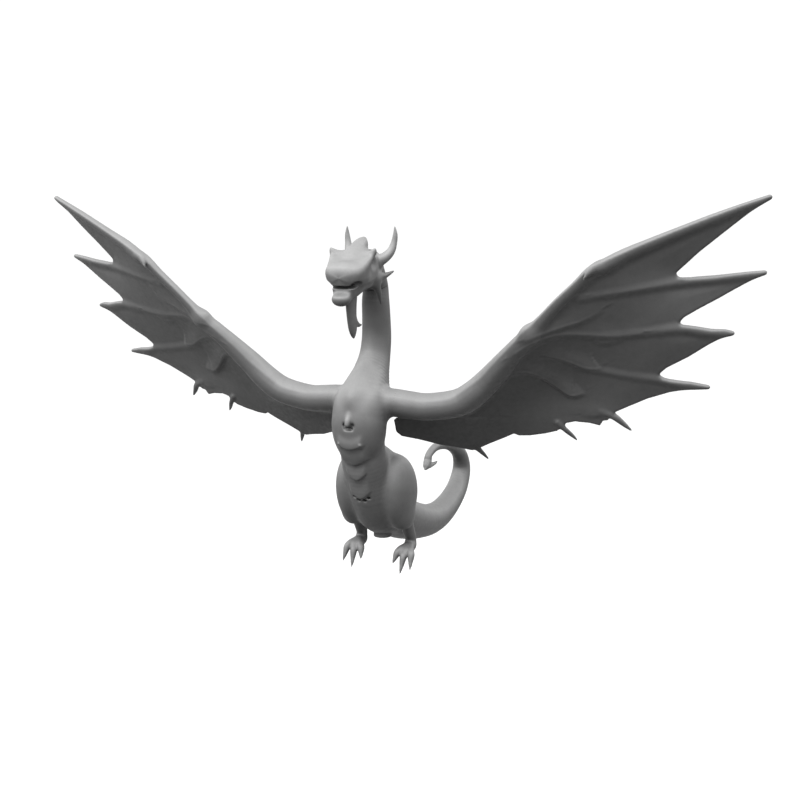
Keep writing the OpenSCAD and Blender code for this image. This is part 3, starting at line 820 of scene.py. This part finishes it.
def beard_field(grid):
    return join(flat_chain(grid, BEARD, 0.4), flat_chain(grid, BEARD_SPUR, 0.6), 0.7)


def with_mouth(grid, field):
    """The field with the slot of the mouth and the hollow under the lower lip."""
    mouth = join(ball(grid, *MOUTH_SLOT), ball(grid, *MOUTH_CORNER), 0.8)
    field = carve(field, mouth, 0.3)
    return carve(field, ball(grid, *UNDER_LIP), 1.2)


def build_head():
    """Skull, jaw and everything glued to them, sculpted as one and shared out by nearness."""
    grid = Grid((0, -35, 70), (11.6, 0, 110), HEAD_STEP)
    skull = skull_field(grid)
    jaw = jaw_field(grid)
    horn = chain(grid, HORN, 6)
    crest = chain(grid, CREST)
    brow = chain(grid, BROW, 6)
    frill = frill_field(grid)
    beard = beard_field(grid)

    whole = with_mouth(grid, join(skull, jaw, 2.6))
    for part, fillet in ((horn, 1.6), (crest, 1.8), (brow, 1.4), (frill, 1.6), (beard, 1.2)):
        whole = join(whole, part, fillet)
    above_neck = beyond(grid, HEAD_SEAM)
    from_neck = np.sqrt(grid.x ** 2 + beside(grid, HEAD_SEAM) ** 2)
    whole = carve(whole, np.maximum(from_neck - NECK_ROOM_R, above_neck), 0.3)

    base = np.minimum(skull, jaw)
    parts = [horn, crest, brow, frill, beard]

    def owned(part):
        """Negative where a glued part is nearer than all the others."""
        rival = base
        for other in parts:
            if other is not part:
                rival = np.minimum(rival, other)
        return part - rival

    nearest = np.minimum.reduce(parts)
    above_lips = grid.z - LIP_HEIGHT - LIP_RISE * (grid.y - LIP_FRONT_Y)
    skull_part = share(whole, np.maximum(-above_lips, base - nearest))
    jaw_part = share(whole, np.maximum(above_lips, base - nearest))

    mesh = mesh_from("skull", grid, skull_part, both=True)
    trim(mesh, *seam_cut(HEAD_SEAM, SEAM_GAP, -1))
    add_piece(mesh, "skull", "head", head_painted_light_primer)
    mesh = mesh_from("lower_jaw", grid, np.maximum(jaw_part, -above_neck), both=True)
    add_piece(mesh, "lower_jaw", "head", grey_primer)
    mesh = mesh_from("head_crest", grid, share(whole, owned(crest)), both=True)
    add_piece(mesh, "head_crest", "head", head_painted_light_primer)
    mesh = mesh_from("chin_beard", grid, share(whole, owned(beard)), both=True)
    add_piece(mesh, "chin_beard", "head", grey_primer)
    pair("horn", grid, share(whole, owned(horn)), "head", horn_primer)
    pair("brow_spike", grid, share(whole, owned(brow)), "head", head_painted_light_primer)
    pair("cheek_frill", grid, share(whole, owned(frill)), "head", grey_primer)


# ---------------------------------------------------------------- tail

# Point of the barb and the hook that runs back from it: x, y, z, radius
BARB_POINT = [
    (0, 42.4, 18.6, 1.15), (0, 41.4, 16.8, 1.45), (0, 40.2, 15.4, 0.8), (0, 39.3, 14.8, 0.25),
]
BARB_HOOK = [
    (0, 41.0, 15.9, 1.1), (0, 43.6, 15.5, 1.05), (0, 47.2, 15.3, 0.8), (0, 50.0, 15.2, 0.55),
    (0, 52.2, 15.6, 0.15),
]
# The curl seam's plane also meets the end of the tail, above this height, where nothing is cut
CURL_SEAM_TOP = 9
INSIDE = -5.0


def build_tail():
    grid = Grid((0, 20, -15), (8.4, 85, 26), BODY_STEP)
    base = spine(grid, BACKBONE[TAIL_BASE_RINGS])
    curl = spine(grid, BACKBONE[TAIL_CURL_RINGS])
    barb = join(chain(grid, BARB_POINT, 6), chain(grid, BARB_HOOK, 6), 0.8)
    whole = join(curl, barb, 0.9)
    past_seam = beyond(grid, CURL_SEAM)
    before_seam = np.where(grid.z < CURL_SEAM_TOP, -past_seam, INSIDE)

    mesh = mesh_from("tail_base", grid, share(base, past_seam), both=True)
    trim(mesh, *seam_cut(TAIL_SEAM, SEAM_GAP, -1))
    add_piece(mesh, "tail_base", "tail", grey_primer)
    curl_part = share(whole, np.maximum(before_seam, curl - barb))
    mesh = mesh_from("tail_curl", grid, curl_part, both=True)
    add_piece(mesh, "tail_curl", "tail", grey_primer)
    mesh = mesh_from("tail_barb", grid, share(whole, barb - curl), both=True)
    add_piece(mesh, "tail_barb", "tail", horn_primer)


# ---------------------------------------------------------------- wings

# Thumb claw at the wrist: x, y, z, radius
THUMB = [
    (80.5, -25.4, 97.4, 1.6), (78.9, -26.4, 96.7, 1.25), (77.5, -27.3, 95.3, 0.8),
    (76.3, -27.9, 93.4, 0.2),
]
# Points that the wing skin passes near: x, z, y
SKIN_POINTS = [
    (12, 50.5, -13.3), (22, 50, -12), (32, 52, -12), (43.5, 61, -13.8), (56.5, 75, -20),
    (68, 87, -23.5), (78.5, 96.5, -25), (94, 104, -22), (110, 111, -18), (125, 117, -13.5),
    (100.5, 95, -13.5), (124, 95.5, -5.5), (101, 80.5, -8.5), (115.5, 77, -2.5), (93.5, 62.5, 0),
    (108, 59, 6), (78.5, 49, 5), (63, 44, 3.5), (46, 38.5, 3), (33.5, 34.5, 3), (19, 35.5, -3),
    (9.6, 40, -11), (72, 70, -8.5), (88, 90, -17), (50, 52, -2.5), (60, 58, -2.5),
]
# Smoothing of the sheet through those points; 0 would pass through each one
SKIN_EASE = 20.0
# Rim of the skin in front view from the first finger's tip round to the flank: x, z
RIM = [
    (125, 117), (117.4, 110.5), (111.5, 105.5), (106.8, 101.5), (103.2, 98), (100.5, 95.4),
    (100.6, 93.6), (104, 92.9), (110.8, 93.3), (116.2, 94.5), (120.2, 95.2), (124.2, 95.6),
    (119, 92.2), (115.7, 90.2), (111.6, 87.6), (106.7, 84.7), (102.5, 82), (100.8, 80.2),
    (101.1, 78.9), (103.3, 78.5), (106.5, 78.2), (110, 77.6), (113.6, 78), (115.8, 77.2),
    (113.2, 75.9), (109, 73.4), (103.2, 69.3), (96.6, 65.4), (94, 63), (94.3, 61.2),
    (96.6, 60.2), (103, 60.3), (108.3, 59.1), (103, 58.3), (97, 57), (90.2, 54.5), (84.5, 51.6),
    (79.8, 49.2), (78.5, 48), (77.3, 46.1), (75.8, 45.9), (74.7, 44.1), (71.7, 44.9), (67, 45.3),
    (64.2, 44.6), (62.6, 42.8), (61, 41.6), (57, 40.4), (52, 39.4), (48.4, 39.2), (46.9, 39.9),
    (43.8, 38.3), (38.4, 35.7), (35, 33.9), (31.9, 32.6), (28.2, 33.5), (22, 34.7), (16, 36.9),
    (11.2, 38.3), (9.6, 40.4), (8, 43), (6, 46), (6, 50), (22, 50), (32, 52), (43.5, 61),
    (56.5, 75), (68, 87), (78.5, 96.5), (94, 104), (110, 111),
]
# Finger bones inside the skin: x, z, radius, how far forward
BONES = [
    [(74, 88, 0.3, 0), (82.8, 89.6, 0.4, 0), (93, 91.4, 0.5, 0),
     (104, 93.2, 0.75, 0), (114, 94.3, 0.65, 0), (124, 95.5, 0.25, 0)],
    [(56, 71.8, 1.3, 0.5), (62.3, 75.1, 1.0, 0.4), (68, 76.4, 0.7, 0.2), (78, 76.1, 0.5, 0),
     (89.6, 77.2, 0.5, 0), (101, 78.6, 0.75, 0), (108.5, 77.6, 0.75, 0), (115.4, 77.2, 0.25, 0)],
    [(70, 65.2, 0.2, 0), (82, 63.2, 0.35, 0), (94, 61.6, 0.55, 0),
     (101, 60.0, 0.65, 0), (108, 59.2, 0.25, 0)],
]
# Folds of the skin, each a crest line with a soft upper and a sharp lower side: x, z, height
FOLDS = [
    [(52, 69, 0.6), (57, 72.4, 1.7), (62.3, 75.1, 1.6), (67, 76.5, 1.1), (73, 76.6, 0.7),
     (82, 76.2, 0.4), (90, 77.2, 0.3)],
    [(58, 75, 0.4), (63.5, 77.2, 0.8), (68.8, 79.2, 0.9), (73.8, 81, 0.7), (79, 84, 0.2)],
    [(57.5, 69.5, 0.2), (63, 68.7, 0.9), (67.8, 67.2, 1.3), (72, 65.2, 1.2), (75.5, 64.8, 0.8),
     (77, 65.4, 0.1)],
    [(46, 60.4, 0.6), (51, 62.8, 1.3), (55.3, 63.2, 1.6), (59.2, 61.4, 1.65), (63.2, 57.9, 1.45),
     (66.6, 55.2, 1.2), (69.5, 55.6, 0.6), (71, 56.4, 0.1)],
    [(76, 74.2, 0.1), (79.5, 73.8, 0.6), (85, 75.2, 0.1)],
    [(33, 46.8, 0.1), (38, 47.2, 0.6), (43.5, 46.9, 0.1)],
    [(78, 89, 0.2), (88, 90.6, 0.45), (100, 93.0, 0.2)],
    [(70, 48.2, 0.1), (75, 48.4, 0.5), (79, 49.2, 0.3)],
]
# Claws along the trailing edge of the skin: x, y, z, radius
SPURS = [
    [(75.5, 4.3, 49.8, 1.3), (79.3, 5.6, 47.7, 1.15), (81.9, 8.2, 45.0, 0.85),
     (84, 10, 42.8, 0.35)],
    [(61.4, 2.6, 45.0, 0.9), (63.6, 4.4, 42.4, 0.85), (65.4, 6.6, 40.2, 0.65),
     (66.7, 8, 38.5, 0.3)],
    [(32.2, 2.8, 35.4, 0.8), (33.6, 4.2, 33.4, 0.9), (35, 6.2, 31.2, 0.65),
     (36.1, 7.8, 29.3, 0.3)],
]
ELBOW = ((58.6, -21.0, 76.4), (2.7, 2.4, 2.7))
# Half thickness of the skin at its rim, and how much it gains by THICK_INSET from the rim
SKIN_RIM_HALF = 0.55
SKIN_GAIN = 0.25
THICK_INSET = 6.0
# Width of a fold's soft upper side and of its sharp lower side
FOLD_SOFT = 3.4
FOLD_SHARP = 0.95
# Room that the skin leaves for the shoulder, so that the wing can turn: where it starts, and a radius
SKIN_START_X = 9.9
SHOULDER_ROOM_R = 5.9


def pull(square):
    """Thin plate kernel of a squared distance."""
    return 0.5 * square * np.log(square + 1e-9)


def skin_weights():
    """Weights of the smooth sheet y(x, z) through SKIN_POINTS."""
    p = np.array(SKIN_POINTS, float)
    count = len(p)
    apart = ((p[:, None, :2] - p[None, :, :2]) ** 2).sum(-1)
    ones = np.c_[np.ones(count), p[:, :2]]
    system = np.block([[pull(apart) + SKIN_EASE * np.eye(count), ones], [ones.T, np.zeros((3, 3))]])
    return p, np.linalg.solve(system, np.r_[p[:, 2], 0, 0, 0])


SKIN_KNOTS, SKIN_PULLS = skin_weights()


def skin_y(x, z):
    """Depth of the middle of the wing skin."""
    x, z = np.broadcast_arrays(np.asarray(x, float), np.asarray(z, float))
    depth = SKIN_PULLS[-3] + SKIN_PULLS[-2] * x + SKIN_PULLS[-1] * z
    for (kx, kz, _), weight in zip(SKIN_KNOTS, SKIN_PULLS):
        depth = depth + weight * pull((x - kx) ** 2 + (z - kz) ** 2)
    return depth


def fold_relief(x, z):
    """How far the folds lift the skin forward."""
    relief = np.zeros(np.broadcast(x, z).shape)
    for rows in FOLDS:
        path = curve(rows, 4)
        nearest = np.full(relief.shape, 1e9)
        across = np.zeros(relief.shape)
        height = np.zeros(relief.shape)
        for (ax, az, ah), (bx, bz, bh) in zip(path[:-1], path[1:]):
            dx, dz = bx - ax, bz - az
            t = np.clip(((x - ax) * dx + (z - az) * dz) / (dx * dx + dz * dz), 0, 1)
            gap = np.hypot(x - ax - t * dx, z - az - t * dz)
            side = np.sign(dx * (z - az) - dz * (x - ax))
            closer = gap < nearest
            nearest = np.where(closer, gap, nearest)
            across = np.where(closer, gap * side, across)
            height = np.where(closer, ah + t * (bh - ah), height)
        width = np.where(across > 0, FOLD_SOFT, FOLD_SHARP)
        relief = relief + height * np.exp(-(across / width) ** 2)
    return relief


def rim_distance(x, z):
    """Signed distance to the rim of the skin in front view, negative inside."""
    rim = np.array(RIM, float)
    gap = np.full(np.broadcast(x, z).shape, 1e9)
    inside = np.zeros(gap.shape, bool)
    for (ax, az), (bx, bz) in zip(rim, np.roll(rim, -1, axis=0)):
        dx, dz = bx - ax, bz - az
        t = np.clip(((x - ax) * dx + (z - az) * dz) / (dx * dx + dz * dz), 0, 1)
        gap = np.minimum(gap, np.hypot(x - ax - t * dx, z - az - t * dz))
        crosses = (az > z) != (bz > z)
        inside ^= crosses & (x < dx * (z - az) / (dz + (dz == 0)) + ax)
    return np.where(inside, -gap, gap)


def on_skin(rows):
    """Chain points on the skin from [x, z, radius, how far forward]."""
    return [(x, float(skin_y(x, z)) - out, z, r) for x, z, r, out in rows]


def skin_field(grid):
    """Wing skin: a curved sheet inside the rim, with folds, finger bones and spurs."""
    x, z = grid.x[:, 0, :], grid.z[0]
    sheet = skin_y(x, z) - fold_relief(x, z)
    slope_x, slope_z = np.gradient(sheet, grid.step)
    lean = 1 / np.sqrt(1 + slope_x ** 2 + slope_z ** 2)
    rim = rim_distance(x, z)
    half = SKIN_RIM_HALF + SKIN_GAIN * ramp(-rim, 0.3, THICK_INSET)
    sheet, lean, rim, half = (a[:, None, :].astype(np.float32) for a in (sheet, lean, rim, half))
    skin = np.abs(grid.y - sheet) * lean - half
    skin = -join(-skin, -0.05 - rim, 0.7)
    for rows in BONES:
        skin = join(skin, chain(grid, on_skin(rows), 4, 2.5), 2.4)
    for rows in SPURS:
        skin = join(skin, chain(grid, rows, 4, 2.5), 0.8)
    return skin


def wing_arm_field(grid, low, high):
    """Arm and first finger, with the trunk's own shoulder next to the body."""
    arm = join(chain(grid, ARM, 3), ball(grid, *ELBOW), 2.0)
    shoulder = trunk_field(Grid(low, (SHOULDER_END_X, *high[1:]), WING_STEP))
    arm[:shoulder.shape[0]] = np.minimum(shoulder, FAR)
    return arm


def build_wings():
    low, high = (8, -31, 28), (127, 13, 120)
    grid = Grid(low, high, WING_STEP)
    skin = skin_field(grid)
    arm = wing_arm_field(grid, low, high)
    thumb = chain(grid, THUMB, 6)
    whole = join(join(arm, skin, 2.6), thumb, 0.9)

    from_axis = np.hypot(grid.y - SHOULDER_Y, grid.z - SHOULDER_Z)
    shoulder_room = np.maximum(from_axis - SHOULDER_ROOM_R, grid.x - SHOULDER_X)
    bore = np.maximum(from_axis - WING_BORE_R, grid.x - WING_BORE_END)
    skin_part = np.maximum(share(whole, np.maximum(skin - arm, skin - thumb)), -shoulder_room)
    skin_part = np.maximum(skin_part, SKIN_START_X - grid.x)
    arm_part = np.maximum(share(whole, np.maximum(arm - skin, arm - thumb)), -bore)
    thumb_part = share(whole, thumb - np.minimum(arm, skin))

    def shoulder_face(mesh, side):
        way = 1 if side == "left" else -1
        trim(mesh, (way * (SHOULDER_X + SEAM_GAP), 0, 0), (-way, 0, 0))

    pair("wing_arm", grid, arm_part, "wing", grey_primer, shoulder_face)
    pair("wing_skin", grid, skin_part, "wing", skin_primer)
    pair("thumb_claw", grid, thumb_part, "wing", claw_primer)


# ---------------------------------------------------------------- hardware, floor, light, camera

FLOOR_HALF = 30.0
FLOOR_Z = -0.12
SKY_STRENGTH = 1.1
SOFTBOX_PLACE = (-0.12, -0.56, 0.66)
SOFTBOX_SIZE = 0.5
SOFTBOX_WATTS = 4.8
CAMERA_PLACE = (0.155976, -0.343760, 0.115994)
CAMERA_AIM = (0.00925, -0.006, 0.050)
FIGURE_MIDDLE = (0.0, 0.0, 0.05)


def paint_hardware():
    """Metal finishes on the CAD pins, magnets and bush."""
    looks = {"stand_socket_bush": brass}
    for side in ("left", "right"):
        looks[f"{side}_shoulder_magnet"] = magnet_coat
        looks[f"{side}_shoulder_pin"] = steel
    for place in ("neck", "waist", "head", "tail", "curl"):
        looks[f"{place}_pin"] = steel
    for place in ("hip", "ankle"):
        looks[f"{place}_pins"] = steel
    for name, material in looks.items():
        for slot in frame["nodes"][name].material_slots:
            slot.material = material


def build_floor():
    """Wide pale floor well below the figure, which hangs in the air as if on its stand."""
    material, tree, shader = node_material("pale_floor")
    tone = ramp_node(tree, noise(tree, 8.0), [(0.3, 0.93), (0.7, 0.95)])
    link(tree, tone, shader.inputs["Base Color"])
    shader.inputs["Roughness"].default_value = 0.9
    shader.inputs["Specular IOR Level"].default_value = 0.0
    mesh = bpy.data.meshes.new("studio_floor")
    corners = [(x * FLOOR_HALF, y * FLOOR_HALF, FLOOR_Z) for x, y in ((-1, -1), (1, -1), (1, 1), (-1, 1))]
    mesh.from_pydata(corners, [], [(0, 1, 2, 3)])
    mesh.materials.append(material)
    floor = bpy.data.objects.new("studio_floor", mesh)
    # No light comes back up from the floor: the figure's underside is dark
    floor.visible_diffuse = False
    bpy.context.scene.collection.objects.link(floor)


def build_sky(world):
    """White soft light from above the horizon that fades to near dark below it."""
    world.use_nodes = True
    tree = world.node_tree
    sky = tree.nodes["Background"]
    place = tree.nodes.new("ShaderNodeTexCoord")
    split = tree.nodes.new("ShaderNodeSeparateXYZ")
    link(tree, place.outputs["Generated"], split.inputs["Vector"])
    lift = tree.nodes.new("ShaderNodeMapRange")
    lift.inputs["From Min"].default_value = -1.0
    link(tree, split.outputs["Z"], lift.inputs["Value"])
    shade = ramp_node(tree, lift.outputs["Result"], [(0.40, 0.02), (0.5, 1.0)])
    link(tree, shade, sky.inputs["Color"])
    sky.inputs["Strength"].default_value = SKY_STRENGTH


def point_at(thing, place, target):
    """Put a lamp or camera at a place, looking at the target."""
    thing.location = place
    thing.rotation_euler = (Vector(target) - Vector(place)).to_track_quat("-Z", "Y").to_euler()
    bpy.context.scene.collection.objects.link(thing)


def build_studio():
    scene = bpy.context.scene
    scene.view_settings.view_transform = "Standard"
    scene.world = bpy.data.worlds.new("studio_air")
    build_sky(scene.world)

    lamp = bpy.data.lights.new("top_softbox", "AREA")
    lamp.shape = "DISK"
    lamp.size = SOFTBOX_SIZE
    lamp.energy = SOFTBOX_WATTS
    point_at(bpy.data.objects.new("top_softbox", lamp), SOFTBOX_PLACE, FIGURE_MIDDLE)

    camera = bpy.data.cameras.new("photo_view")
    camera.lens = 50
    camera.sensor_width = 36
    scene.camera = bpy.data.objects.new("photo_view", camera)
    point_at(scene.camera, CAMERA_PLACE, CAMERA_AIM)


build_body()
build_neck()
build_head()
build_tail()
build_wings()
paint_hardware()
build_floor()
build_studio()
